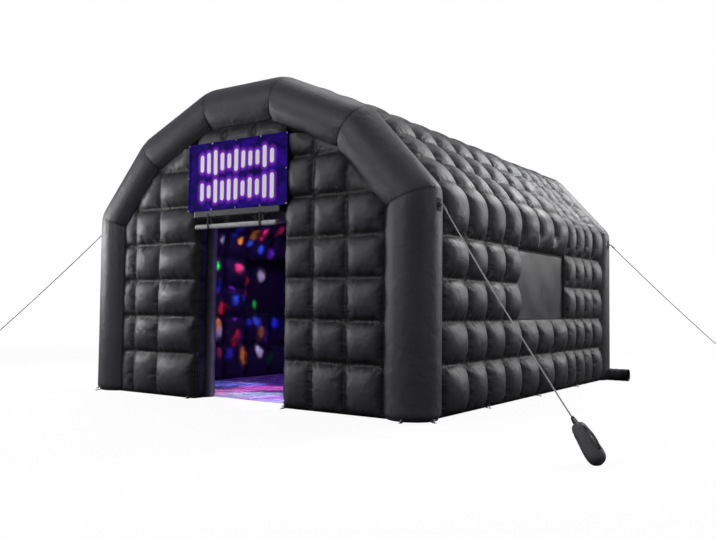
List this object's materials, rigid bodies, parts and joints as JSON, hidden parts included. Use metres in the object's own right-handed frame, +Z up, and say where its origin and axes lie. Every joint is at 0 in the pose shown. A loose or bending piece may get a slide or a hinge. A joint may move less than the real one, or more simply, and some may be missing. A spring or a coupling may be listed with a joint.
{
  "type": "inflatable party tent",
  "caption": "Black inflatable party tent with air-filled end arches, quilted walls and roof, an open doorway under a banner, side windows and weighted guy ropes.",
  "frame": {"origin": "on the ground, at the middle of the plan", "axes": "+X to the right seen from the doorway, +Y from the doorway to the rear, +Z up"},
  "size_m": [8.9516, 8.1068, 3.71],
  "materials": {
    "coated_fabric": "satin coated oxford",
    "window_sheet": "tinted soft sheet",
    "banner_print": "printed satin",
    "curtain_fabric": "coated fabric",
    "groundsheet": "glossy sheet",
    "webbing": "woven webbing",
    "rope": "braided cord",
    "bag_canvas": "woven canvas"
  },
  "bodies": {
    "root": {"front_arch_left_leg": "coated_fabric", "front_arch_left_lower_slope": "coated_fabric", "front_arch_left_upper_slope": "coated_fabric", "front_arch_crown": "coated_fabric", "front_arch_right_upper_slope": "coated_fabric", "front_arch_right_lower_slope": "coated_fabric", "front_arch_right_leg": "coated_fabric", "rear_arch_left_leg": "coated_fabric", "rear_arch_left_lower_slope": "coated_fabric", "rear_arch_left_upper_slope": "coated_fabric", "rear_arch_crown": "coated_fabric", "rear_arch_right_upper_slope": "coated_fabric", "rear_arch_right_lower_slope": "coated_fabric", "rear_arch_right_leg": "coated_fabric", "front_wall_left": "coated_fabric", "front_wall_right": "coated_fabric", "front_wall_over_door": "coated_fabric", "rear_wall": "coated_fabric", "left_wall_front": "coated_fabric", "left_wall_rear": "coated_fabric", "left_wall_sill": "coated_fabric", "left_wall_head": "coated_fabric", "left_window_pane": "window_sheet", "right_wall_front": "coated_fabric", "right_wall_rear": "coated_fabric", "right_wall_sill": "coated_fabric", "right_wall_head": "coated_fabric", "right_window_pane": "window_sheet", "roof_left_lower": "coated_fabric", "roof_left_upper": "coated_fabric", "roof_ridge": "coated_fabric", "roof_right_upper": "coated_fabric", "roof_right_lower": "coated_fabric", "sign_banner": "banner_print", "curtain_flap": "coated_fabric", "rolled_curtain": "curtain_fabric", "curtain_left_tie": "webbing", "curtain_right_tie": "webbing", "floor_sheet": "groundsheet", "inlet_sleeve": "coated_fabric", "front_left_ring_patch": "webbing", "front_left_guy_rope": "rope", "front_left_weight_bag": "bag_canvas", "front_right_ring_patch": "webbing", "front_right_guy_rope": "rope", "front_right_weight_bag": "bag_canvas", "rear_left_ring_patch": "webbing", "rear_left_guy_rope": "rope", "rear_left_weight_bag": "bag_canvas", "rear_right_ring_patch": "webbing", "rear_right_guy_rope": "rope", "rear_right_weight_bag": "bag_canvas"}
  },
  "joints": []
}
